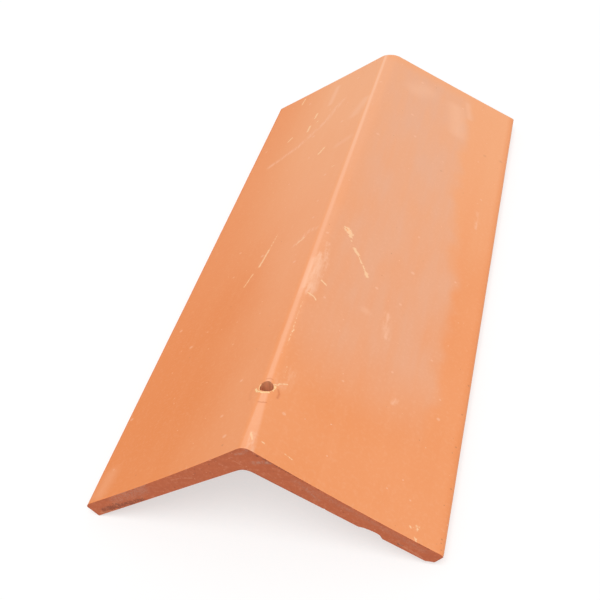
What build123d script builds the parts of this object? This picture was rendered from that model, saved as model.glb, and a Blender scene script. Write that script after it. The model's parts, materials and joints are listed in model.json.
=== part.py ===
from build123d import *
import os
from math import atan2, cos, pi, radians, sin

# Angular clay ridge tile, in millimetres.
# X runs across the ridge, Y along it and Z up. The origin is on the floor, below the middle
# of the tile, which stands on the inner long edges of its two wings.

# Driving dimensions
LENGTH = 450.0              # from one square-cut end to the other, along the ridge
WING = 125.0                # outer face of one wing, from the ridge line to its long edge
INCLUDED_ANGLE = 115.0      # between the outer faces of the two wings, in degrees
CROWN_THICKNESS = 14.0      # clay at the ridge, measured square to a wing
EDGE_THICKNESS = 11.0       # clay at the long edges, which are cut square to the wing
FACE_DISH = 1.2             # how far each outer face is hollow between ridge and long edge
CROWN_RADIUS = 7.0          # rounding of the ridge, outside
SOFFIT_RADIUS = 8.0         # rounding of the ridge, underneath
ARRIS_RADIUS = 4.0          # rounding of the outer long edges
FOOT_RADIUS = 1.0           # rounding of the inner long edges that the tile stands on
NAIL_HOLE_DIAMETER = 8.0    # one nail hole, straight down through the ridge
NAIL_HOLE_FROM_END = 48.0   # from the front end to the middle of the nail hole

# The corners of the right half of the section before they are rounded, with the foot at height 0
slope = radians((180.0 - INCLUDED_ANGLE) / 2)
arris_x = WING * cos(slope)
arris_z = EDGE_THICKNESS * cos(slope)
foot_x = arris_x - EDGE_THICKNESS * sin(slope)
crown_z = arris_z + WING * sin(slope)
soffit_z = crown_z - CROWN_THICKNESS / cos(slope)

# The middle of the right outer face, pressed in by the dish, square to the wing
face_middle_x = arris_x / 2 - FACE_DISH * sin(slope)
face_middle_z = (crown_z + arris_z) / 2 - FACE_DISH * cos(slope)

# Rounding the feet lifts them off the floor by this much, so the section is drawn that much lower
soffit_slope = atan2(soffit_z, foot_x)
foot_angle = pi / 2 + slope - soffit_slope
foot_bisector = pi / 2 - slope + foot_angle / 2
foot_lift = FOOT_RADIUS * sin(foot_bisector) / sin(foot_angle / 2) - FOOT_RADIUS
section_plane = Plane(origin=(0, 0, -foot_lift), x_dir=(1, 0, 0), z_dir=(0, -1, 0))

with BuildPart() as ridge_tile:
    with BuildSketch(section_plane) as section:
        with BuildLine():
            outer_face = ThreePointArc(
                (0, crown_z),
                (face_middle_x, face_middle_z),
                (arris_x, arris_z),
            )
            Polyline(
                outer_face @ 1,
                (foot_x, 0),
                (0, soffit_z),
            )
            mirror(about=Plane.YZ)
        make_face()

        # Each corner of the section and the radius that rounds it
        rounded_corners = [
            ((0, crown_z), CROWN_RADIUS),
            ((0, soffit_z), SOFFIT_RADIUS),
            ((arris_x, arris_z), ARRIS_RADIUS),
            ((-arris_x, arris_z), ARRIS_RADIUS),
            ((foot_x, 0), FOOT_RADIUS),
            ((-foot_x, 0), FOOT_RADIUS),
        ]
        for corner, radius in rounded_corners:
            fillet(section.vertices().sort_by_distance(corner)[0], radius)
    extrude(amount=LENGTH / 2, both=True)

    # The nail hole goes straight down through the ridge line
    with Locations((0, -LENGTH / 2 + NAIL_HOLE_FROM_END, crown_z)):
        Hole(NAIL_HOLE_DIAMETER / 2)

ridge_tile.part.label = "ridge_tile"

os.makedirs("parts", exist_ok=True)
export_step(ridge_tile.part, "parts/ridge_tile.step")
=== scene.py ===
import json
from math import atan, atan2, cos, pi, radians, sin, tan

import bpy
from mathutils import Matrix, Vector


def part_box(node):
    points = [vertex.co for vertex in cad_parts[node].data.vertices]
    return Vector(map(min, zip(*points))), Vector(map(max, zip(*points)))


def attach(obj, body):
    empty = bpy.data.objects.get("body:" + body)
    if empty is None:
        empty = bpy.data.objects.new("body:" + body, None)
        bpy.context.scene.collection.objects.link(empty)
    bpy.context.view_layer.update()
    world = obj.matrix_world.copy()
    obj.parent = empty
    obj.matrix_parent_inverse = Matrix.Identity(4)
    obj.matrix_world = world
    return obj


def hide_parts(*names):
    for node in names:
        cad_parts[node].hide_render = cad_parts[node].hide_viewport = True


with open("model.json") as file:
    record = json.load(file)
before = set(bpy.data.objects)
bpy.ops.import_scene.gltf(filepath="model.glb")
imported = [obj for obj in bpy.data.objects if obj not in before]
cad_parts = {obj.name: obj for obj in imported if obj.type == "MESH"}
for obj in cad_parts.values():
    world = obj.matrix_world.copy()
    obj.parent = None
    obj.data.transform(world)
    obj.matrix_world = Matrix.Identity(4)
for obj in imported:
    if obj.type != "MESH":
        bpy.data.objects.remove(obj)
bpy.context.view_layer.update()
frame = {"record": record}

# The looks of an angular clay ridge tile, in metres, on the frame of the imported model.
# X runs across the ridge, Y along it from the end with the nail hole, and Z up.

MM = 0.001

# Sizes of the section, as the tile is made
LOW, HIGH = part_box("ridge_tile")
LENGTH = HIGH.y - LOW.y
WING = 125 * MM
SLOPE = radians(32.5)
CROWN_THICKNESS = 14 * MM
EDGE_THICKNESS = 11 * MM
FACE_DISH = 1.2 * MM
CROWN_RADIUS = 7 * MM
SOFFIT_RADIUS = 8 * MM
ARRIS_RADIUS = 4 * MM
FOOT_RADIUS = 1 * MM
END_RADIUS = 0.5 * MM

# How much lower the soffit sagged at the ridge before the tile was fired
CROWN_SAG = 1.2 * MM

# Where the folded slab comes out, before its feet are rounded
CROWN_HEIGHT = EDGE_THICKNESS * cos(SLOPE) + WING * sin(SLOPE)
SOFFIT_HEIGHT = CROWN_HEIGHT - CROWN_THICKNESS / cos(SLOPE)
FOOT_X = WING * cos(SLOPE) - EDGE_THICKNESS * sin(SLOPE)
SOFFIT_SLOPE = atan2(SOFFIT_HEIGHT, FOOT_X)
CROWN_SLOPE = SLOPE + atan(4 * FACE_DISH / WING)
FOOT_ANGLE = pi / 2 + SLOPE - SOFFIT_SLOPE
FOOT_BISECTOR = pi / 2 - SLOPE + FOOT_ANGLE / 2
FOOT_LIFT = FOOT_RADIUS * (sin(FOOT_BISECTOR) / sin(FOOT_ANGLE / 2) - 1)

NAIL_HOLE = next(m for m in frame["record"]["mounts"] if m["name"] == "nail_hole")
NAIL_HOLE_Y = NAIL_HOLE["pos_m"][1]
NAIL_HOLE_RADIUS = NAIL_HOLE["dims"]["r_mm"] * MM

# The nail hole's punch, and the arc of flakes that it tore out of the rim, with their sizes in
# shares of a lump of 1 mm
PUNCH_LENGTH = 60 * MM
PUNCH_ROUGHNESS = 0.06
FIRST_FLAKE = radians(170)
FLAKE_ARC = radians(200)
FLAKES_OUT = 0.1 * MM
LEAST_FLAKE = (0.9, 0.9, 0.55)
GREATEST_FLAKE = (1.6, 1.6, 0.8)

# The nicks along the arrises of the ends: their sizes, in the same shares, and how many a square
# metre would hold at most before those that lie too close go
LEAST_NICK = (0.4, 0.4, 0.4)
GREATEST_NICK = (1.3, 0.9, 0.7)
NICK_DENSITY = 3e4

# What was knocked off: the size of the lump, where its middle lay, how far below the flat face or
# the soffit that was, and how the lump was turned or tilted
GOUGE_SIZE = (2.8 * MM, 1.7 * MM, 0.6 * MM)
GOUGE_X = 13.5 * MM
GOUGE_Y = -21.2 * MM
GOUGE_SINK = 1.6 * MM
GOUGE_TURN = radians(-52)
DENT_SIZE = (8 * MM, 4 * MM, 2.4 * MM)
DENT_X = 63.5 * MM
DENT_SINK = 1.4 * MM
DENT_TILT = radians(6)
FOOT_WEAR_SIZE = (8 * MM, 6 * MM, 4.4 * MM)
FOOT_WEAR_INWARDS = 5 * MM
FOOT_WEAR_HEIGHT = -1.4 * MM

# Zones of the tile's surface, written on its faces and read when the finishes are set
LEFT_SKIN, RIGHT_SKIN, CUT_END, SOFFIT, LONG_EDGE, HOLE_WALL, TORN_RIM, GOUGE, WORN_CHIP = range(9)


class Value:
    """A number in a node tree, so that a shape can be written as a formula."""

    def __init__(self, make, socket):
        self.make = make
        self.socket = socket

    def __add__(self, other):
        return self.make.math("ADD", self, other)

    def __radd__(self, other):
        return self.make.math("ADD", other, self)

    def __sub__(self, other):
        return self.make.math("SUBTRACT", self, other)

    def __rsub__(self, other):
        return self.make.math("SUBTRACT", other, self)

    def __mul__(self, other):
        return self.make.math("MULTIPLY", self, other)

    def __rmul__(self, other):
        return self.make.math("MULTIPLY", other, self)

    def __truediv__(self, other):
        return self.make.math("DIVIDE", self, other)

    def __neg__(self):
        return self.make.math("MULTIPLY", self, -1.0)

    def __abs__(self):
        return self.make.math("ABSOLUTE", self)


class Maker:
    """Adds nodes to one node tree and plugs them together."""

    def __init__(self, tree):
        self.tree = tree

    def node(self, kind, plugs=None, **settings):
        """Adds a node with these settings, and plugs its inputs, by their names."""
        node = self.tree.nodes.new(kind)
        for name, setting in settings.items():
            setattr(node, name, setting)
        for name, value in (plugs or {}).items():
            self.plug(node.inputs[name], value)
        return node

    def plug(self, socket, value):
        """Links a value to a socket, or sets a plain number, vector or material on it."""
        if isinstance(value, Value):
            value = value.socket
        if isinstance(value, bpy.types.NodeSocket):
            self.tree.links.new(value, socket)
        else:
            socket.default_value = value

    def math(self, operation, *values):
        node = self.node("ShaderNodeMath", dict(enumerate(values)), operation=operation)
        return Value(self, node.outputs[0])

    def least(self, a, b):
        return self.math("MINIMUM", a, b)

    def most(self, a, b):
        return self.math("MAXIMUM", a, b)

    def root(self, a):
        return self.math("SQRT", a)

    def sign(self, a):
        return self.math("SIGN", a)

    def vector(self, x, y, z):
        return self.node("ShaderNodeCombineXYZ", {"X": x, "Y": y, "Z": z}).outputs[0]

    def split(self, vector):
        node = self.node("ShaderNodeSeparateXYZ", {"Vector": vector})
        return [Value(self, socket) for socket in node.outputs]

    def vectors(self, operation, a, b):
        node = self.node("ShaderNodeVectorMath", {0: a, 1: b}, operation=operation)
        return node.outputs["Vector"]

    def dot(self, a, b):
        node = self.node("ShaderNodeVectorMath", {0: a, 1: b}, operation="DOT_PRODUCT")
        return Value(self, node.outputs["Value"])

    def length(self, vector):
        node = self.node("ShaderNodeVectorMath", {0: vector}, operation="LENGTH")
        return Value(self, node.outputs["Value"])

    def scaled(self, vector, factor):
        plugs = {"Vector": vector, "Scale": factor}
        return self.node("ShaderNodeVectorMath", plugs, operation="SCALE").outputs["Vector"]

    def noise(self, vector, size, detail=2.0, roughness=0.5):
        """Noise from 0 to 1, with lumps of about that size."""
        plugs = {"Vector": vector, "Scale": 1 / size, "Detail": detail, "Roughness": roughness}
        return Value(self, self.node("ShaderNodeTexNoise", plugs).outputs[0])

    def step(self, value, low, high, low_out=0.0, high_out=1.0):
        """A smooth step from one value to another, also where low is the larger."""
        if low > high:
            low, high, low_out, high_out = high, low, high_out, low_out
        plugs = {"Value": value, "From Min": low, "From Max": high, "To Min": low_out, "To Max": high_out}
        node = self.node("ShaderNodeMapRange", plugs, interpolation_type="SMOOTHSTEP")
        return Value(self, node.outputs[0])

    def mix(self, factor, a, b):
        """Colour a where the factor is 0, and colour b where it is 1."""
        node = self.node("ShaderNodeMix", data_type="RGBA")
        sockets = {socket.identifier: socket for socket in node.inputs}
        self.plug(sockets["Factor_Float"], factor)
        self.plug(sockets["A_Color"], opaque(a))
        self.plug(sockets["B_Color"], opaque(b))
        return node.outputs[2]


def opaque(colour):
    """A colour with its alpha, or the socket that gives one."""
    return (*colour, 1.0) if isinstance(colour, tuple) else colour


# The body of the tile

BODY_SIZES = {
    "Length": LENGTH,
    "Wing": WING,
    "Slope": SLOPE,
    "Crown Slope": CROWN_SLOPE,
    "Soffit Slope": SOFFIT_SLOPE,
    "Crown Thickness": CROWN_THICKNESS + CROWN_SAG,
    "Edge Thickness": EDGE_THICKNESS,
    "Face Dish": FACE_DISH,
    "Crown Radius": CROWN_RADIUS,
    "Soffit Radius": SOFFIT_RADIUS,
    "Arris Radius": ARRIS_RADIUS,
    "Foot Radius": FOOT_RADIUS,
    "Foot Lift": FOOT_LIFT,
    "End Radius": END_RADIUS,
    "Nail Hole Radius": NAIL_HOLE_RADIUS,
    "Nail Hole Y": NAIL_HOLE_Y,
    # How the tile moved in the kiln: the back opened out and rose, both ends lean, the left closed in
    "Back Flattening": 0.071,
    "Back Crown Radius": 14 * MM,
    "Back Edge Lift": 2 * MM,
    "Left Closing": 0.009,
    "Front Lean": 0.028,
    "Back Lean": 0.013,
    # How far the die's core stood to the left of the middle
    "Soffit Shift": -1.6 * MM,
    # How much further in the foot lies than a long edge cut square to its wing would have it
    "Foot Undercut": 2.5 * MM,
    # How much thinner the long edges are at the front end, and how much rounder its right corner is
    "Front Thinning": 0.9 * MM,
    "Worn Corner": 1.5 * MM,
    # How uneven the clay is: slow waves, and the lines that the die drew along it
    "Wave Depth": 0.25 * MM,
    "Skin Line Depth": 0.06 * MM,
    "Soffit Line Depth": 0.35 * MM,
    "Least Wear": 0.1 * MM,
    "Rim Flakes": 13,
    "Nick Spacing": 4 * MM,
    "Seed": 11,
    "Steps Across": 121,
    "Steps Along": 160,
    "Steps Through": 12,
}


def open_tree(name, sizes):
    """A Geometry Nodes tree with a mesh going in and coming out, and one named input for each size."""
    tree = bpy.data.node_groups.new(name, "GeometryNodeTree")
    tree.is_modifier = True
    tree.interface.new_socket("Mesh", in_out="OUTPUT", socket_type="NodeSocketGeometry")
    tree.interface.new_socket("Mesh", in_out="INPUT", socket_type="NodeSocketGeometry")
    for label, size in sizes.items():
        kind = "NodeSocketInt" if isinstance(size, int) else "NodeSocketFloat"
        tree.interface.new_socket(label, in_out="INPUT", socket_type=kind)
    make = Maker(tree)
    entry = make.node("NodeGroupInput")
    return make, {label: Value(make, entry.outputs[label]) for label in ("Mesh", *sizes)}


def realized(make, instances):
    """The instances as one plain mesh."""
    return make.node("GeometryNodeRealizeInstances", {0: instances}).outputs[0]


def close_tree(make, mesh):
    """Sends the mesh out of the tree, and returns the tree."""
    make.node("NodeGroupOutput", {"Mesh": mesh})
    return make.tree


def run_tree(tree, sizes, name, start=None):
    """Runs a tree with these sizes and returns its result as a plain mesh object."""
    piece = bpy.data.objects.new(name, start or bpy.data.meshes.new(name))
    bpy.context.scene.collection.objects.link(piece)
    modifier = piece.modifiers.new(name, "NODES")
    modifier.node_group = tree
    for item in tree.interface.items_tree:
        if item.in_out == "INPUT" and item.name in sizes:
            modifier[item.identifier] = sizes[item.name]
    graph = bpy.context.evaluated_depsgraph_get()
    mesh = bpy.data.meshes.new_from_object(piece.evaluated_get(graph))
    piece.modifiers.remove(modifier)
    piece.data = mesh
    mesh.name = name
    return piece


def zoned(make, mesh, zone, where=True):
    """Writes the zone that faces belong to."""
    node = make.node("GeometryNodeStoreNamedAttribute", data_type="INT", domain="FACE")
    make.plug(node.inputs["Geometry"], mesh)
    make.plug(node.inputs["Selection"], where)
    make.plug(node.inputs["Name"], "zone")
    make.plug(node.inputs["Value"], zone)
    return node.outputs["Geometry"]


def zone_of(make):
    """The zone that a face belongs to."""
    node = make.node("GeometryNodeInputNamedAttribute", {"Name": "zone"}, data_type="INT")
    return Value(make, node.outputs["Attribute"])


def crowd_both_ends(share, crowding):
    """Moves steps between 0 and 1 towards both ends."""
    smooth = share * share * (3.0 - 2.0 * share)
    return share * (1 - crowding) + smooth * crowding


def crowd_far_end(make, share, crowding):
    """Moves steps between 0 and 1 towards 1."""
    return share * (1 - crowding) + make.math("SINE", share * (pi / 2)) * crowding


def round_corner(make, a, b, radius):
    """Rounds the corner between two faces. a and b are a point's depths below them."""
    short_a = make.most(radius - a, 0.0)
    short_b = make.most(radius - b, 0.0)
    reach = make.root(short_a * short_a + short_b * short_b)
    pull = 1.0 - make.most(short_a, short_b) / make.most(reach, 1e-9)
    return a + short_a * pull, b + short_b * pull


def fold_rounding(make, x, slope, radius):
    """How far a rounded fold lies below the sharp one, at x from the ridge line."""
    near = make.least(x, radius * make.math("SINE", slope))
    sharp = near * make.math("TANGENT", slope)
    return radius / make.math("COSINE", slope) - make.root(radius * radius - near * near) - sharp


def blank_slab(make, size):
    """A slab from -1 to 1 each way with fine steps, whose faces know their zone."""
    slab = make.node("GeometryNodeMeshCube", {
        "Size": (2, 2, 2),
        "Vertices X": size["Steps Across"],
        "Vertices Y": size["Steps Along"],
        "Vertices Z": size["Steps Through"],
    })
    x, y, z = make.split(make.node("GeometryNodeInputPosition").outputs[0])
    face = 0.9999
    mesh = zoned(make, slab.outputs["Mesh"], make.math("GREATER_THAN", x, 0.0) * RIGHT_SKIN)
    mesh = zoned(make, mesh, CUT_END, make.math("GREATER_THAN", abs(y), face))
    mesh = zoned(make, mesh, SOFFIT, make.math("LESS_THAN", z, -face))
    return zoned(make, mesh, LONG_EDGE, make.math("GREATER_THAN", abs(x), face))


def folded(make, size, slab):
    """The slab as two wings that meet in the rounded ridge, with its corners rounded."""
    x, y, z = make.split(make.node("GeometryNodeInputPosition").outputs[0])

    # Shares of the way from ridge to edge, from middle to end and from outer face to soffit
    across = crowd_both_ends(abs(x), crowding=0.75)
    along = crowd_far_end(make, abs(y), crowding=0.85)
    through = crowd_both_ends((1.0 - z) / 2.0, crowding=0.7)

    # Place in the plane of a wing: depth below its outer face, and how far its edge and end are
    fold_run = size["Crown Thickness"] * make.math("TANGENT", size["Slope"])
    thickness = size["Crown Thickness"] - across * (size["Crown Thickness"] - size["Edge Thickness"])
    to_edge = size["Wing"] - across * size["Wing"] - through * (1.0 - across) * fold_run
    to_end = size["Length"] * 0.5 * (1.0 - along)
    depth, to_edge = round_corner(make, through * thickness, to_edge, size["Arris Radius"])
    height, to_edge = round_corner(make, thickness - depth, to_edge, size["Foot Radius"])
    at_corner = make.step(x, 0.85, 1.0) * make.step(y, 0.0, -1.0)
    end_radius = size["End Radius"] + at_corner * size["Worn Corner"]
    depth, to_end = round_corner(make, thickness - height, to_end, end_radius)
    height, to_end = round_corner(make, thickness - depth, to_end, size["End Radius"])
    to_edge, to_end = round_corner(make, to_edge, to_end, end_radius)
    run = size["Wing"] - to_edge - through * across * size["Foot Undercut"]
    hollow = size["Face Dish"] * 4.0 * (1.0 - across) + size["Front Thinning"]
    depth = thickness - height + (1.0 - through) * across * (0.5 - y * 0.5) * hollow

    # The wings are folded down and meet in the rounded ridge
    sine = make.math("SINE", size["Slope"])
    cosine = make.math("COSINE", size["Slope"])
    out = run * cosine - depth * sine
    up = size["Edge Thickness"] * cosine + to_edge * sine - depth * cosine - size["Foot Lift"]
    back = y * 0.5 + 0.5
    crown_radius = size["Crown Radius"] + back * (size["Back Crown Radius"] - size["Crown Radius"])
    up = up - (1.0 - through) * fold_rounding(make, out, size["Crown Slope"], crown_radius)
    up = up - through * fold_rounding(make, out, size["Soffit Slope"], size["Soffit Radius"])
    out_x = make.sign(x) * out + through * size["Soffit Shift"] * (1.0 - across)
    place = make.vector(out_x, make.sign(y) * (size["Length"] * 0.5 - to_end), up)
    return make.node("GeometryNodeSetPosition", {"Geometry": slab, "Position": place}).outputs[0]


def fired(make, size, mesh):
    """What the kiln did: the back lies flatter, its edges rise, the ends lean and the left closes in."""
    x, y, z = make.split(make.node("GeometryNodeInputPosition").outputs[0])
    back = y / size["Length"] + 0.5
    across = x / size["Wing"]
    lean = (1.0 - back) * size["Front Lean"] - back * size["Back Lean"]
    rise = size["Back Edge Lift"] * across * across
    height = z + (rise - size["Back Flattening"] * z) * back * back
    closed = x - make.least(x, 0.0) * size["Left Closing"] * back
    place = make.vector(closed, y + lean * z, height)
    return make.node("GeometryNodeSetPosition", {"Geometry": mesh, "Position": place}).outputs[0]


def worn(make, size, mesh):
    """Slow waves in the clay and the die's lines along it. They only take clay away."""
    place = make.node("GeometryNodeInputPosition").outputs[0]
    x, y, z = make.split(place)
    normal = make.node("GeometryNodeInputNormal").outputs[0]
    facing_up = make.split(normal)[2]
    waves = make.noise(place, size=55 * MM) * size["Wave Depth"]
    stretched = make.vector(x, y * 0.01, z * 0.2)
    die_lines = make.noise(stretched, size=5 * MM, detail=3.0, roughness=0.6)
    on_skin = make.step(facing_up, 0.3, 0.6) * size["Skin Line Depth"]
    on_soffit = make.step(facing_up, -0.3, -0.6) * size["Soffit Line Depth"]
    depth = size["Least Wear"] + waves + die_lines * (on_skin + on_soffit)
    offset = make.scaled(normal, -depth)
    return make.node("GeometryNodeSetPosition", {"Geometry": mesh, "Offset": offset}).outputs[0]


def lump(make, radius, roundness=3, roughness=0.35):
    """A rough stone-like lump that knocks clay out where it is taken away from the tile."""
    ball = make.node("GeometryNodeMeshIcoSphere", {"Radius": 1.0, "Subdivisions": roundness})
    place = make.node("GeometryNodeInputPosition").outputs[0]
    swell = make.noise(place, size=0.7, detail=1.0) * roughness + (1.0 - roughness / 2)
    rough = make.node("GeometryNodeSetPosition", {
        "Geometry": ball.outputs["Mesh"], "Position": make.scaled(place, swell),
    })
    sized = make.node("GeometryNodeTransform", {"Geometry": rough.outputs[0], "Scale": radius})
    return sized.outputs[0]


def between(make, least, greatest, seed):
    """A random size for each lump, between the two."""
    scale = make.node("FunctionNodeRandomValue", {"Seed": seed}, data_type="FLOAT_VECTOR")
    scale.inputs["Min"].default_value = least
    scale.inputs["Max"].default_value = greatest
    return scale.outputs["Value"]


def drill(make, size):
    """What the punch takes out for the nail hole."""
    punch = make.node("GeometryNodeMeshCylinder", {
        "Vertices": 72, "Side Segments": 30, "Radius": size["Nail Hole Radius"], "Depth": PUNCH_LENGTH,
    })
    place = make.node("GeometryNodeInputPosition").outputs[0]
    x, y, z = make.split(place)
    swell = 1.0 - make.noise(place, size=4 * MM, detail=1.0) * PUNCH_ROUGHNESS
    rough = make.node("GeometryNodeSetPosition", {
        "Geometry": punch.outputs["Mesh"], "Position": make.vector(x * swell, y * swell, z),
    })
    placed = make.node("GeometryNodeTransform", {
        "Geometry": rough.outputs[0], "Translation": make.vector(0.0, size["Nail Hole Y"], CROWN_HEIGHT),
    })
    return zoned(make, placed.outputs[0], HOLE_WALL)


def rim_flakes(make, size):
    """Small flakes that the punch tore out of the rim, on the side towards the front end."""
    points = make.node("GeometryNodePoints", {"Count": size["Rim Flakes"]})
    index = Value(make, make.node("GeometryNodeInputIndex").outputs[0])
    turn = FIRST_FLAKE + index / (size["Rim Flakes"] - 1.0) * FLAKE_ARC
    reach = size["Nail Hole Radius"] + FLAKES_OUT
    x = reach * make.math("COSINE", turn)
    y = reach * make.math("SINE", turn) + size["Nail Hole Y"]
    crown = CROWN_HEIGHT - FOOT_LIFT - CROWN_RADIUS * (1 / cos(CROWN_SLOPE) - 1)
    fall = make.most(abs(x) - CROWN_RADIUS * sin(CROWN_SLOPE) / 2, 0.0) * tan(SLOPE)
    placed = make.node("GeometryNodeSetPosition", {
        "Geometry": points.outputs[0], "Position": make.vector(x, y, crown - fall),
    })
    flakes = make.node("GeometryNodeInstanceOnPoints", {
        "Points": placed.outputs[0],
        "Instance": lump(make, (MM, MM, MM), roundness=2),
        "Scale": between(make, LEAST_FLAKE, GREATEST_FLAKE, size["Seed"]),
    })
    return zoned(make, realized(make, flakes.outputs[0]), TORN_RIM)


def soffit_at(x):
    """Height of the soffit at x from the ridge line."""
    return SOFFIT_HEIGHT - FOOT_LIFT - abs(x) * tan(SOFFIT_SLOPE)


def gouge(make):
    """The shallow gouge in the right wing."""
    flat_face = CROWN_HEIGHT - FOOT_LIFT - GOUGE_X * tan(SLOPE)
    placed = make.node("GeometryNodeTransform", {
        "Geometry": lump(make, GOUGE_SIZE),
        "Translation": (GOUGE_X, GOUGE_Y, flat_face - GOUGE_SINK),
        "Rotation": (0, SLOPE, GOUGE_TURN),
    })
    return zoned(make, placed.outputs[0], GOUGE)


def arris_dent(make, size):
    """A piece lost from the front lower arris of the right wing."""
    placed = make.node("GeometryNodeTransform", {
        "Geometry": lump(make, DENT_SIZE),
        "Translation": make.vector(DENT_X, size["Length"] * -0.5, soffit_at(DENT_X) - DENT_SINK),
        "Rotation": (0, SOFFIT_SLOPE - DENT_TILT, 0),
    })
    return zoned(make, placed.outputs[0], WORN_CHIP)


def worn_foot(make, size):
    """The right foot's front corner, worn off where the tile was stood on it."""
    placed = make.node("GeometryNodeTransform", {
        "Geometry": lump(make, FOOT_WEAR_SIZE),
        "Translation": make.vector(FOOT_X - FOOT_WEAR_INWARDS, size["Length"] * -0.5, FOOT_WEAR_HEIGHT),
    })
    return zoned(make, placed.outputs[0], WORN_CHIP)


def arris_nicks(make, size, mesh):
    """Small nicks scattered along the arrises of both ends."""
    normal = make.node("GeometryNodeInputNormal").outputs[0]
    tilt = abs(make.split(normal)[1])
    # The rounded arrises alone, which face neither along the tile nor straight out of a wing
    turned = make.math("GREATER_THAN", tilt, 0.3) * make.math("LESS_THAN", tilt, 0.95)
    points = make.node("GeometryNodeDistributePointsOnFaces", distribute_method="POISSON", plugs={
        "Mesh": mesh,
        "Selection": turned,
        "Distance Min": size["Nick Spacing"],
        "Density Max": NICK_DENSITY,
        "Seed": size["Seed"],
    })
    nicks = make.node("GeometryNodeInstanceOnPoints", {
        "Points": points.outputs["Points"],
        "Instance": lump(make, (MM, MM, MM), roundness=2),
        "Scale": between(make, LEAST_NICK, GREATEST_NICK, size["Seed"] + 1),
    })
    return zoned(make, realized(make, nicks.outputs[0]), WORN_CHIP)


def joined(make, *meshes):
    """The meshes as one, without the parts of them that lie inside one another."""
    node = make.node("GeometryNodeMeshBoolean", operation="UNION", solver="EXACT")
    node.inputs["Self Intersection"].default_value = True
    for mesh in meshes:
        make.tree.links.new(mesh, node.inputs["Mesh 2"])
    return node.outputs["Mesh"]


def cut(make, mesh, cutter):
    """The mesh, with what the cutter covers taken away."""
    plugs = {"Mesh 1": mesh, "Mesh 2": cutter}
    node = make.node("GeometryNodeMeshBoolean", plugs, operation="DIFFERENCE", solver="MANIFOLD")
    return node.outputs["Mesh"]


def finished(make, mesh, finishes):
    """Gives each zone its finish."""
    zone = zone_of(make)
    for number, material in finishes.items():
        inside = make.math("COMPARE", zone, float(number), 0.5)
        mesh = make.node("GeometryNodeSetMaterial", {
            "Geometry": mesh, "Selection": inside, "Material": material,
        }).outputs[0]
    return mesh


def body_tree(finishes):
    """A slab is folded, fired and worn, then the nail hole and the chips are taken out of it."""
    make, size = open_tree("ridge_tile_body", BODY_SIZES)
    mesh = worn(make, size, fired(make, size, folded(make, size, blank_slab(make, size))))
    chips = gouge(make), arris_dent(make, size), worn_foot(make, size), arris_nicks(make, size, mesh)
    mesh = cut(make, mesh, joined(make, drill(make, size), rim_flakes(make, size), *chips))
    return close_tree(make, finished(make, realized(make, mesh), finishes))


# The finishes. Their places are the tile's own coordinates, in millimetres.

ORANGE = (0.91, 0.335, 0.128)
DEEP_ORANGE = (0.865, 0.262, 0.066)
PALE_ORANGE = (0.93, 0.42, 0.20)
BLOOM_PINK = (0.85, 0.42, 0.25)
CROWN_WEAR_AND_HIGHLIGHT_PINK = (0.97, 0.46, 0.26)
DUST = (0.99, 0.55, 0.35)
CREAM = (1.0, 0.62, 0.35)
BURNT_PIT = (0.45, 0.16, 0.07)
CUT_RED = (0.575, 0.134, 0.044)
DEEP_RED = (0.51, 0.112, 0.038)
DARK_RED = (0.31, 0.072, 0.028)
LIGHT_RED = (0.74, 0.29, 0.16)
GREY_DUST = (0.50, 0.30, 0.225)
RUST_AND_SHADE = (0.68, 0.19, 0.06)
SOFFIT_BROWN = (0.76, 0.30, 0.13)
HOLE_BROWN_PAINTED_LIGHT = (0.98, 0.45, 0.23)
TORN_CREAM = (1.0, 0.64, 0.31)

# Marks on the outer skin: the places (x, y) that each runs through, its width and its strength
LEFT_SCRATCHES = [
    # The long one beside the middle, and a short bright one behind it
    ([(-40.5, -8), (-42.5, -24)], 1.2, 0.6),
    ([(-42.5, -24), (-44, -35.5), (-45, -41)], 1.7, 0.9),
    ([(-48, -47.5), (-51, -58.5)], 1.2, 0.75),
    ([(-51, -58.5)], 1.4, 0.9),
    ([(-30.5, 97), (-33.5, 91)], 2.0, 1.0),
    ([(-12.5, 56), (-15, 56)], 1.0, 0.8),
    ([(-14, -31), (-19, -35)], 1.6, 0.75),
    # Dashes towards the back end
    ([(-76.5, 218.5), (-77.5, 209.5)], 1.6, 0.8),
    ([(-54, 172.5), (-54.5, 165)], 2.0, 0.95),
    ([(-50, 155.5)], 1.8, 0.9),
    ([(-56, 153.5), (-56.5, 145.5)], 1.9, 0.95),
    ([(-71, 148.5), (-73.5, 144.5)], 1.8, 0.9),
]
LEFT_SCUFFS = [
    ([(-7.5, -26.5), (-12.5, -25), (-16, -32), (-20, -35.5)], 3.4, 0.6),
    ([(-31.5, 173.5), (-41, 146.5), (-48.5, 137.5), (-59, 124.5), (-71.5, 118), (-81.5, 113.5)], 4.2, 0.75),
]
LEFT_HAZE = [
    ([(0, -62), (0, -90)], 2.6, 1.0),
    ([(-43.5, 207.5), (-44, 178)], 4.0, 0.7),
    ([(-7.5, 150), (-13, 130.5)], 7.0, 0.6),
    ([(-10, 92), (-17, 89.5)], 6.0, 0.4),
    ([(-94.5, -205), (-96, -219)], 9.0, 0.35),
]
LEFT_PITS = [
    ([(-15, -215)], 0.9, 0.7),
]
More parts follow.
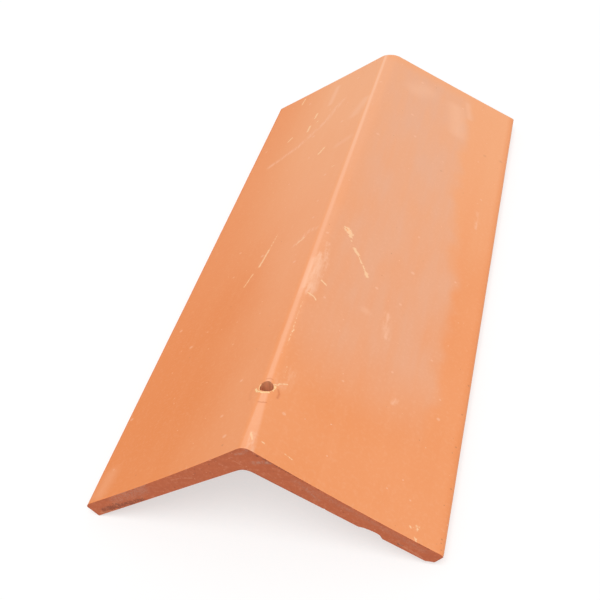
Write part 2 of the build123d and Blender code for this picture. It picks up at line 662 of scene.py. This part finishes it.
RIGHT_SCRATCHES = [
    # The gouge, and the long scratch that the same blow drew below it
    ([(12.5, -20), (15, -22.5)], 4.0, 1.0),
    ([(14, -21.5), (15.8, -25.5)], 2.2, 0.95),
    ([(17, -29)], 1.1, 0.9),
    ([(20, -34.5), (23, -38)], 2.2, 1.0),
    ([(23, -38), (30.2, -50.3)], 1.4, 0.7),
    ([(30.2, -50.3), (31.2, -53)], 2.2, 1.0),
    # Short ones beside the crown
    ([(8.5, -78.5), (11.5, -80)], 1.3, 0.95),
    ([(4, -94.5), (7.5, -95), (9, -97)], 1.0, 0.9),
    ([(2.5, -104), (3, -142)], 0.7, 0.45),
    ([(3.5, -128.5), (3, -131)], 0.9, 0.9),
    # The fine cracks that run out from the nail hole
    ([(3, -174.5), (5.5, -173.5), (6, -172), (9.5, -169.5)], 0.7, 0.8),
    ([(7, -167), (6.5, -157.5)], 0.6, 0.4),
    # Where the front end was knocked
    ([(1, -211.5), (2.5, -215.5)], 1.1, 0.9),
    ([(7, -214), (8.5, -214)], 1.0, 0.8),
    ([(18.5, -213.5), (22.5, -214.5)], 0.9, 0.6),
    ([(88, -215.5)], 3.6, 0.62),
    ([(84.5, -217)], 1.8, 0.6),
    ([(88, -222.5), (88.5, -223.5)], 1.6, 0.7),
]
RIGHT_SCUFFS = [
    ([(5, -43.5), (7.5, -64.5)], 2.6, 1.0),
    ([(3, -57), (4, -94)], 5.0, 1.0),
    ([(8, -62), (7, -76)], 2.5, 0.8),
    ([(48.5, -76), (50.5, -95)], 4.0, 0.7),
    ([(62.5, -142), (64.5, -138.5)], 2.2, 0.9),
    ([(89, 75), (89.5, 55)], 1.6, 0.7),
    ([(7, -172), (10, -160)], 6.0, 0.4),
    ([(2, -212), (3.5, -223)], 3.5, 0.9),
]
RIGHT_HAZE = [
    ([(0, -62), (0, -90)], 2.6, 1.0),
    ([(3, -62), (4.5, -88)], 5.0, 0.8),
    ([(36, -82.5)], 5.0, 0.5),
    ([(58.5, 194), (63.5, 160.5)], 11.0, 0.6),
    ([(66.5, 209), (70, 190)], 4.0, 0.5),
    ([(33, 196), (27, 188)], 14.0, 0.5),
]
RIGHT_PITS = [
    ([(101, -215)], 0.8, 0.9),
    ([(101, -217.5)], 0.7, 0.8),
    ([(101.5, -221.5)], 0.7, 0.8),
    ([(101.5, -180)], 0.9, 0.9),
    ([(101, -123)], 0.8, 0.9),
    ([(102, -97.5)], 1.0, 0.8),
    ([(100.5, -149.5)], 0.9, 0.8),
    ([(86.5, 150)], 2.0, 0.35),
    ([(58.5, 100)], 1.4, 0.4),
    ([(99, 154)], 2.2, 0.35),
]
TORN_LIP = [
    ([(-3.8, -180.8), (-1, -182), (2.6, -181.3)], 1.0, 1.0),
    ([(-6.2, -177.6), (-4.6, -180.4)], 1.2, 0.9),
    ([(3.8, -178.8), (4.6, -175.6)], 1.5, 0.9),
]

LEFT_MARKS = {
    "scratches": LEFT_SCRATCHES,
    "scuffs": LEFT_SCUFFS,
    "haze": LEFT_HAZE,
    "pits": LEFT_PITS,
}
RIGHT_MARKS = {
    "scratches": RIGHT_SCRATCHES,
    "scuffs": RIGHT_SCUFFS,
    "haze": RIGHT_HAZE,
    "pits": RIGHT_PITS,
}

# What is left of the ring that a washer pressed round the nail hole: darker arcs, partly rust and partly
# painted shade along the edge of the shallow imprint, which has no relief of its own
WASHER_RING = [
    ([(-1.5, -171.4), (0.5, -170.8), (2.2, -171.3)], 0.7, 0.7),
    ([(-1.4, -189.1), (0.5, -189.3), (3, -188.6)], 0.7, 0.9),
    ([(6.4, -176.5), (7.4, -179), (7.2, -182)], 1.1, 0.9),
    ([(-8.2, -176), (-9, -180), (-7.6, -185)], 1.6, 0.2),
]

# Marks on the front end: the places (x, z)
GREY_SCUFFS = [
    ([(-84.5, 20.5), (-62.5, 34)], 1.6, 1.0),
    ([(-84, 17.5), (-64, 29.5)], 6.0, 0.55),
    ([(1.5, 73), (-1.5, 70), (-5, 69)], 1.7, 0.6),
    ([(3.5, 64), (8, 65), (13.5, 65.5)], 1.9, 0.75),
    ([(30, 50), (37, 41)], 2.0, 0.65),
    ([(25, 54), (70, 26), (93, 11)], 3.2, 0.35),
]
LIGHT_LINES = [
    ([(-9, 65), (-2.5, 61)], 0.9, 0.7),
    ([(-45.5, 41), (-39, 44), (-32.5, 45)], 0.8, 0.7),
    ([(78, 15), (92, 5)], 1.6, 0.7),
    ([(-95, 3.5), (-84, 8)], 1.8, 0.7),
]
DARK_LINES = [
    ([(-93, 6), (-82, 12.5)], 4.6, 0.66),
    ([(-82, 12.5), (-66, 20.5)], 3.6, 0.66),
    # Painted shade: a dark line just under the top right arris
    ([(4, 71.5), (96, 13)], 1.2, 0.45),
    ([(79, 14), (81, 13)], 1.3, 0.9),
]

# The crown's light band is partly wear and partly a painted highlight. It lies a little off the ridge line,
# and turns towards the left at the back
BAND_SHIFT = -1.6
BAND_TURN = -0.0095
BAND_REACH = 1.6
BACK_BAND_REACH = 1.25

# Where the crown was scuffed lighter
CROWN_SCUFF_Y = -79.0

# How far a second grid of specks is moved, so that its specks don't fall on the first one's
END_PIT_SHIFT = 40.0
SOFFIT_GRIT_SHIFT = 70.0


def open_material(name):
    """A new material, a maker for its nodes, and the place on the tile in millimetres."""
    material = bpy.data.materials.new(name)
    material.use_nodes = True
    make = Maker(material.node_tree)
    place = make.node("ShaderNodeTexCoord").outputs["Object"]
    return material, make, make.scaled(place, 1 / MM)


def close_material(material, make, colour, roughness, relief):
    """Sets a finish's colour, its roughness and its relief, whose height is in millimetres."""
    shader = material.node_tree.nodes["Principled BSDF"]
    bump = make.node("ShaderNodeBump", {"Height": relief, "Distance": MM, "Strength": 1.0})
    make.plug(shader.inputs["Base Color"], colour)
    make.plug(shader.inputs["Roughness"], roughness)
    make.plug(shader.inputs["Normal"], bump.outputs["Normal"])
    return material


def stroke_group():
    """Lays one soft-edged stroke over the strokes so far."""
    tree = bpy.data.node_groups.new("stroke", "ShaderNodeTree")
    for label in ("Place", "Start", "End"):
        tree.interface.new_socket(label, in_out="INPUT", socket_type="NodeSocketVector")
    for label in ("Width", "Strength", "So Far"):
        tree.interface.new_socket(label, in_out="INPUT", socket_type="NodeSocketFloat")
    tree.interface.new_socket("Strokes", in_out="OUTPUT", socket_type="NodeSocketFloat")
    make = Maker(tree)
    entry = make.node("NodeGroupInput").outputs
    reach = make.vectors("SUBTRACT", entry["Place"], entry["Start"])
    run = make.vectors("SUBTRACT", entry["End"], entry["Start"])
    share = make.dot(reach, run) / make.most(make.dot(run, run), 1e-6)
    nearest = make.scaled(run, make.most(make.least(share, 1.0), 0.0))
    gap = make.length(make.vectors("SUBTRACT", reach, nearest))
    stroke = make.step(gap / Value(make, entry["Width"]), 1.0, 0.0)
    strong = stroke * Value(make, entry["Strength"])
    make.node("NodeGroupOutput", {"Strokes": make.most(strong, entry["So Far"])})
    return tree


STROKE = stroke_group()


def strokes(make, place, marks):
    """How strongly the marks show at a place. Each runs through its own places, or is a dot."""
    so_far = 0.0
    for places, width, strength in marks:
        for start, end in zip(places, places[1:] or places):
            node = make.node("ShaderNodeGroup", node_tree=STROKE)
            make.plug(node.inputs["Place"], place)
            node.inputs["Start"].default_value = (*start, 0)
            node.inputs["End"].default_value = (*end, 0)
            node.inputs["Width"].default_value = width
            node.inputs["Strength"].default_value = strength
            make.plug(node.inputs["So Far"], so_far)
            so_far = node.outputs["Strokes"]
    return Value(make, so_far)


def crumbled(make, place, mark, grain=1.2):
    """Breaks a mark up, as a tool that skips over the clay does."""
    skips = (make.noise(place, size=grain) - 0.5) * 1.6
    return make.step(mark + skips, 0.35, 0.7)


def specks(make, ground, spacing, radius, share):
    """Round specks of mixed sizes, in that share of the cells of a grid."""
    plugs = {"Vector": ground, "Scale": 1 / spacing}
    cells = make.node("ShaderNodeTexVoronoi", plugs, voronoi_dimensions="2D")
    chance, size = make.split(cells.outputs["Color"])[:2]
    reach = (size * 0.7 + 0.3) * (radius / spacing)
    there = make.math("LESS_THAN", chance, share)
    return there * make.step(Value(make, cells.outputs["Distance"]) / reach, 1.0, 0.5)


def drawn_out(make, x, y, share):
    """A place on the ground for a pattern that the die drew out along the tile."""
    return make.vector(x, y * share, 0.0)


def crown_wear_and_highlight(make, x, y):
    """The light band along the crown, partly wear and partly a painted highlight, sharper to the left,
    wider and fainter at the front end.
    """
    off = x - (y * BAND_TURN + BAND_SHIFT)
    reach = make.step(y, -185, -225) * 0.8 + make.step(y, 0, 200, BAND_REACH, BACK_BAND_REACH)
    left = make.step(off + reach, -0.6, 0.6)
    right = make.step(off - reach - make.step(y, -160, -210) * 1.8, 0.6, -1.2)
    return left * right * make.step(y, -225, -195, 0.55, 1.0)


def bloom(make, place, x, y):
    """The pale bloom that salts left on the right wing when it dried, streaked along the tile."""
    edge = x - make.step(y, -50, 150, 84, 70) + (make.noise(place, size=22, detail=1.0) - 0.5) * 14
    inside = make.step(edge, 5, -7) * make.step(x, -3.5, -1) * make.step(x, 3, 20, 0.6, 1.0)
    inside = inside * make.step(y, -178, -98) * make.step(y, 225, 208)
    clouds = make.noise(drawn_out(make, x, y, 0.4), size=24)
    streaks = make.noise(drawn_out(make, x, y, 0.08), size=5)
    depth = make.step(clouds, 0.3, 0.7, 0.48, 0.74) + (streaks - 0.5) * 0.45
    return inside * depth * make.step(y, -60, 180, 1.0, 1.3)


def skin_tone_and_sheen(make, place, x, y):
    """The skin's colour: deeper orange on the left wing's front half, towards its outer edge and at both
    long edges, paler to the back, partly as painted sheen, and light along the crown, partly as a painted
    highlight.
    """
    drift = make.noise(place, size=60, detail=1.0)
    bands = make.noise(drawn_out(make, x, y, 0.02), size=8)
    deep = make.step(x, -5, -60) * make.step(y, 140, -80) + (drift - 0.5) + (bands - 0.5) * 0.6
    colour = make.mix(deep, ORANGE, DEEP_ORANGE)
    # Painted sheen, with some real change of colour: the skin is painted paler towards the back end, which
    # is seen at a more grazing angle
    paler_and_sheen_to_back = make.step(y, -120, 215) * 0.8
    colour = make.mix(paler_and_sheen_to_back + (bands - 0.5) * 0.5, colour, PALE_ORANGE)
    colour = make.mix(bloom(make, place, x, y), colour, BLOOM_PINK)
    left_of_crown = make.step(x, -75, -15) * make.step(x, 1, -3) * make.step(y, -150, -40)
    colour = make.mix(left_of_crown * 0.12, colour, DUST)
    outer = make.step(x, -40, -100) * 0.65 + make.step(abs(x), 98, 103) * 0.4
    colour = make.mix(outer, colour, DEEP_ORANGE)
    scuffed = make.step(abs(y - CROWN_SCUFF_Y), 22, 12) * 0.5
    # Painted highlight, partly wear: the crown's band is painted paler and pinker than the skin
    crown = make.mix(make.step(y, -100, 200), CROWN_WEAR_AND_HIGHLIGHT_PINK, DUST)
    return make.mix(crown_wear_and_highlight(make, x, y) * (drift * 0.4 + 0.5 + scuffed), colour, crown)


def outer_skin(name, marks):
    """Smooth orange skin of one wing, with its painted sheen and crown highlight, and with what has
    scuffed, scratched and pitted it since.
    """
    material, make, place = open_material(name)
    x, y = make.split(place)[:2]
    ground = make.vector(x, y, 0.0)
    mottle = make.noise(place, size=2.0, roughness=0.65)
    colour = make.mix((mottle - 0.5) * 0.6, skin_tone_and_sheen(make, place, x, y), DUST)
    streaks = make.noise(drawn_out(make, x, y, 0.15), size=1.6)
    rubbed = strokes(make, ground, marks["scuffs"]) * make.step(streaks * 0.7 + mottle * 0.3, 0.35, 0.65)
    dabs = specks(make, ground, spacing=26, radius=1.6, share=0.5)
    burnt_specks = specks(make, ground, spacing=19, radius=0.5, share=0.25)
    rubbed = make.most(rubbed, dabs * 0.6)
    burnt = make.most(strokes(make, ground, marks["pits"]), burnt_specks * 0.7)
    cut = crumbled(make, place, strokes(make, ground, marks["scratches"]))
    torn = crumbled(make, place, strokes(make, ground, TORN_LIP), grain=0.8)
    colour = make.mix(strokes(make, ground, marks["haze"]) * 0.6, colour, DUST)
    colour = make.mix(rubbed * 0.8, colour, DUST)
    colour = make.mix(burnt * 0.7, colour, BURNT_PIT)
    # Partly rust, partly painted shade along the edge of the washer's imprint
    colour = make.mix(strokes(make, ground, WASHER_RING) * 0.7, colour, RUST_AND_SHADE)
    colour = make.mix(cut * 0.85, colour, CREAM)
    colour = make.mix(torn, colour, TORN_CREAM)
    relief = make.noise(place, size=0.7, detail=1.0) * 0.02 + mottle * 0.025
    return close_material(material, make, colour, mottle * 0.14 + cut * 0.2 + 0.5, relief)


def cut_end():
    """Red clay where a wire cut the tile to length, with drag lines, pits and grey scuffs, and painted
    shade along its top edge.
    """
    material, make, place = open_material("cut_end")
    x, y, z = make.split(place)
    face = make.vector(x, z, 0.0)
    on_front = make.step(y, 1.0, -1.0)
    drift = make.noise(place, size=22)
    drag = make.noise(make.vector(x * 0.12 + z * 0.1, 0.0, z - x * 0.25), size=2.2, detail=3.0)
    mottle = make.noise(place, size=2.6, detail=3.0, roughness=0.7)
    grit = specks(make, face, spacing=3.5, radius=0.6, share=0.35)
    pits = specks(make, make.vector(x + END_PIT_SHIFT, z, 0.0), spacing=4.5, radius=0.6, share=0.35)
    dark = on_front * crumbled(make, place, strokes(make, face, DARK_LINES), grain=0.9)
    dusty = make.step(make.noise(place, size=1.1, detail=3.0, roughness=0.75), 0.36, 0.68)
    scuffs = on_front * strokes(make, face, GREY_SCUFFS) * dusty
    lines = on_front * crumbled(make, place, strokes(make, face, LIGHT_LINES))
    colour = make.mix(drift + (drag - 0.5) * 1.2 + (mottle - 0.5), CUT_RED, DEEP_RED)
    # Painted shade: the end face is painted darker within 4 mm of the outer skin, along its top edge
    below_skin = (CROWN_HEIGHT - FOOT_LIFT) / MM - abs(x) * tan(SLOPE) - z
    rim = make.step(below_skin, 4.0, 0.5) * 0.3
    colour = make.mix((mottle - 0.5) * 1.6, colour, LIGHT_RED)
    colour = make.mix(pits * 0.5 + dark * 0.9 + rim + (0.5 - mottle) * 0.9, colour, DARK_RED)
    colour = make.mix(grit * 0.5, colour, LIGHT_RED)
    colour = make.mix(lines * 0.35, colour, LIGHT_RED)
    colour = make.mix(scuffs * 0.75, colour, GREY_DUST)
    relief = drag * 0.12 + mottle * 0.08 - pits * 0.2 - dark * 0.2
    return close_material(material, make, colour, mottle * 0.2 + 0.65, relief)


def soffit():
    """Rougher, browner clay underneath, with the die's lines and a dusting of grit."""
    material, make, place = open_material("soffit")
    x, y = make.split(place)[:2]
    lines = make.noise(drawn_out(make, x, y, 0.01), size=3, detail=4.0, roughness=0.65)
    drift = make.noise(place, size=40)
    mottle = make.noise(place, size=1.6, detail=3.0, roughness=0.65)
    pits = specks(make, make.vector(x, y, 0.0), spacing=6, radius=0.7, share=0.3)
    grit = specks(make, make.vector(x + SOFFIT_GRIT_SHIFT, y, 0.0), spacing=5, radius=0.6, share=0.35)
    colour = make.mix(drift + (lines - 0.5) * 1.4, SOFFIT_BROWN, DEEP_ORANGE)
    colour = make.mix((mottle - 0.4) * 0.8, colour, BLOOM_PINK)
    colour = make.mix(pits * 0.6, colour, BURNT_PIT)
    colour = make.mix(grit * 0.5, colour, DUST)
    relief = lines * 0.35 + mottle * 0.08 - pits * 0.3 + grit * 0.1
    return close_material(material, make, colour, mottle * 0.2 + 0.68, relief)


def long_edge():
    """The long edges, which the die cut: deeper orange with short drag marks."""
    material, make, place = open_material("long_edge")
    x, y, z = make.split(place)
    drag = make.noise(make.vector(x, y * 0.03, z), size=1.5, detail=4.0, roughness=0.6)
    drift = make.noise(place, size=30)
    mottle = make.noise(place, size=1.8, detail=3.0)
    pits = specks(make, make.vector(y, z, 0.0), spacing=8, radius=0.6, share=0.4)
    colour = make.mix(drift + (drag - 0.5) * 1.5, ORANGE, DEEP_ORANGE)
    colour = make.mix((mottle - 0.45) * 0.6, colour, DUST)
    colour = make.mix(pits * 0.7, colour, BURNT_PIT)
    relief = drag * 0.15 + mottle * 0.04 - pits * 0.25
    return close_material(material, make, colour, mottle * 0.2 + 0.6, relief)


def hole_wall():
    """The nail hole's wall, dragged down by the punch, and painted far paler than the clay as painted light
    inside the hole.
    """
    material, make, place = open_material("hole_wall")
    x, y, z = make.split(place)
    drag = make.noise(make.vector(x, y, z * 0.15), size=1.2, detail=3.0)
    crumbs = make.noise(place, size=0.9)
    # Painted light: the wall's base colour is far paler than the cut clay, so that the deep hole looks lit
    colour = make.mix(drag - 0.3, HOLE_BROWN_PAINTED_LIGHT, DARK_RED)
    colour = make.mix(make.step(crumbs, 0.6, 0.7) * 0.5, colour, CREAM)
    return close_material(material, make, colour, crumbs * 0.2 + 0.7, drag * 0.3 + crumbs * 0.15)


def torn_clay(name, colour, dark):
    """Clay that broke away: grainy, in two colours."""
    material, make, place = open_material(name)
    grain = make.noise(place, size=0.8, detail=3.0, roughness=0.7)
    coarse = make.noise(place, size=3.0)
    mixed = make.mix(make.step(grain * 0.6 + coarse * 0.4, 0.4, 0.65), colour, dark)
    return close_material(material, make, mixed, grain * 0.2 + 0.72, grain * 0.25)


def lime_speck():
    """Pale grains of lime and grog that the fire left in the skin."""
    material, make, place = open_material("lime_speck")
    grain = make.noise(place, size=1.5)
    colour = make.mix(grain, PALE_ORANGE, DUST)
    return close_material(material, make, colour, grain * 0.2 + 0.7, grain * 0.05)


FINISHES = {
    LEFT_SKIN: outer_skin("left_skin", LEFT_MARKS),
    RIGHT_SKIN: outer_skin("right_skin", RIGHT_MARKS),
    CUT_END: cut_end(),
    SOFFIT: soffit(),
    LONG_EDGE: long_edge(),
    HOLE_WALL: hole_wall(),
    TORN_RIM: torn_clay("torn_rim", TORN_CREAM, ORANGE),
    GOUGE: torn_clay("gouge", CREAM, ORANGE),
    WORN_CHIP: torn_clay("worn_chip", LIGHT_RED, CUT_RED),
}


def smooth(piece, sharp_angle):
    """Shades a piece smooth, but for the edges that turn by more than that angle."""
    for polygon in piece.data.polygons:
        polygon.use_smooth = True
    piece.data.set_sharp_from_angle(angle=sharp_angle)
    return piece


def dress(piece):
    """The piece rides on the tile."""
    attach(piece, "root")


body = smooth(run_tree(body_tree(FINISHES), BODY_SIZES, "tile_body"), radians(40))
dress(body)
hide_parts("ridge_tile")

# Grains in the outer skin

SPECK_SIZES = {
    "Spacing": 12 * MM,
    "Least Radius": 0.2 * MM,
    "Greatest Radius": 0.5 * MM,
    "Flatness": 0.3,
    "Seed": 5,
}


def speck_tree(material):
    """Flat grains that lie in the outer skin, scattered over it and turned to follow it."""
    make, size = open_tree("lime_specks", SPECK_SIZES)
    on_skin = make.math("LESS_THAN", zone_of(make), RIGHT_SKIN + 0.5)
    points = make.node("GeometryNodeDistributePointsOnFaces", distribute_method="POISSON", plugs={
        "Mesh": size["Mesh"], "Selection": on_skin, "Distance Min": size["Spacing"], "Density Max": 1000.0,
        "Seed": size["Seed"],
    })
    grain = make.node("GeometryNodeMeshIcoSphere", {"Radius": 1.0, "Subdivisions": 2}).outputs["Mesh"]
    radius = make.node("FunctionNodeRandomValue", data_type="FLOAT")
    sockets = {socket.identifier: socket for socket in radius.inputs}
    make.plug(sockets["Min_001"], size["Least Radius"])
    make.plug(sockets["Max_001"], size["Greatest Radius"])
    make.plug(sockets["Seed"], size["Seed"])
    reach = Value(make, next(s for s in radius.outputs if s.identifier == "Value_001"))
    grains = make.node("GeometryNodeInstanceOnPoints", {
        "Points": points.outputs["Points"],
        "Instance": grain,
        "Rotation": points.outputs["Rotation"],
        "Scale": make.vector(reach, reach, reach * size["Flatness"]),
    })
    plugs = {"Geometry": realized(make, grains.outputs[0]), "Material": material}
    return close_tree(make, make.node("GeometryNodeSetMaterial", plugs).outputs[0])


specks_piece = run_tree(speck_tree(lime_speck()), SPECK_SIZES, "lime_specks", body.data.copy())
dress(smooth(specks_piece, radians(60)))

# The camera, at the place that the photograph was taken from

SENSOR = 36.0
LENS = 60.87
CAMERA_PLACE = Vector((0.1453, -0.5470, 0.4652))
CAMERA_AZIMUTH = radians(18.01)
CAMERA_ELEVATION = radians(40.00)
CAMERA_ROLL = radians(6.76)


def set_camera():
    """The camera turns to its azimuth, looks down by its elevation and then rolls about its axis."""
    data = bpy.data.cameras.new("camera")
    data.sensor_width = SENSOR
    data.lens = LENS
    data.clip_start = 0.01
    camera = bpy.data.objects.new("camera", data)
    bpy.context.scene.collection.objects.link(camera)
    turn = Matrix.Rotation(CAMERA_AZIMUTH, 4, "Z")
    tip = Matrix.Rotation(pi / 2 - CAMERA_ELEVATION, 4, "X")
    roll = Matrix.Rotation(-CAMERA_ROLL, 4, "Z")
    camera.matrix_world = Matrix.Translation(CAMERA_PLACE) @ turn @ tip @ roll
    bpy.context.scene.camera = camera


# The stage and its light

FLOOR_REACH = 4.0
FLOOR_WHITE = (1.0, 1.0, 1.0)
FLOOR_BOUNCE = (0.75, 0.75, 0.75)
FLOOR_SHADOW_SHARE = 0.4
FLOOR_SHADED = (FLOOR_SHADOW_SHARE,) * 3
SKY_WHITE = (1.0, 1.0, 1.0)
SKY_FILL = 0.48
SUN_STRENGTH = 1.9
SUN_SPREAD = radians(45)
SUN_TURN = (radians(20), radians(3), 0)


def seen_directly(make):
    """1 where the camera sees a surface, itself or in a shiny one, and 0 for light that bounces."""
    path = make.node("ShaderNodeLightPath").outputs
    seen = make.most(path["Is Camera Ray"], path["Is Glossy Ray"])
    return make.most(seen, path["Is Transmission Ray"])


def set_floor():
    """A plain white floor that keeps the tile's shadow."""
    corners = [(-1, -1), (1, -1), (1, 1), (-1, 1)]
    mesh = bpy.data.meshes.new("floor")
    mesh.from_pydata([(x * FLOOR_REACH, y * FLOOR_REACH, 0) for x, y in corners], [], [(0, 1, 2, 3)])
    floor = bpy.data.objects.new("floor", mesh)
    bpy.context.scene.collection.objects.link(floor)
    material = bpy.data.materials.new("floor_paper")
    material.use_nodes = True
    make = Maker(material.node_tree)
    shader = material.node_tree.nodes["Principled BSDF"]
    make.plug(shader.inputs["Base Color"], make.mix(seen_directly(make), FLOOR_BOUNCE, FLOOR_SHADED))
    shader.inputs["Roughness"].default_value = 0.9
    shader.inputs["Specular IOR Level"].default_value = 0.0
    shader.inputs["Emission Color"].default_value = opaque(FLOOR_WHITE)
    make.plug(shader.inputs["Emission Strength"], seen_directly(make) * (1.0 - FLOOR_SHADOW_SHARE))
    mesh.materials.append(material)


def set_sky():
    """An even white fill from all round."""
    world = bpy.data.worlds.new("studio")
    bpy.context.scene.world = world
    world.use_nodes = True
    make = Maker(world.node_tree)
    background = world.node_tree.nodes["Background"]
    background.inputs["Color"].default_value = opaque(SKY_WHITE)
    seen = Value(make, make.node("ShaderNodeLightPath").outputs["Is Camera Ray"])
    make.plug(background.inputs["Strength"], seen * (1.0 - SKY_FILL) + SKY_FILL)


def set_lamps():
    """One broad, soft lamp from above."""
    sun = bpy.data.lights.new("softbox", "SUN")
    sun.energy = SUN_STRENGTH
    sun.angle = SUN_SPREAD
    lamp = bpy.data.objects.new("softbox", sun)
    lamp.rotation_euler = SUN_TURN
    bpy.context.scene.collection.objects.link(lamp)


set_camera()
set_floor()
set_sky()
set_lamps()
bpy.context.scene.view_settings.view_transform = "Standard"
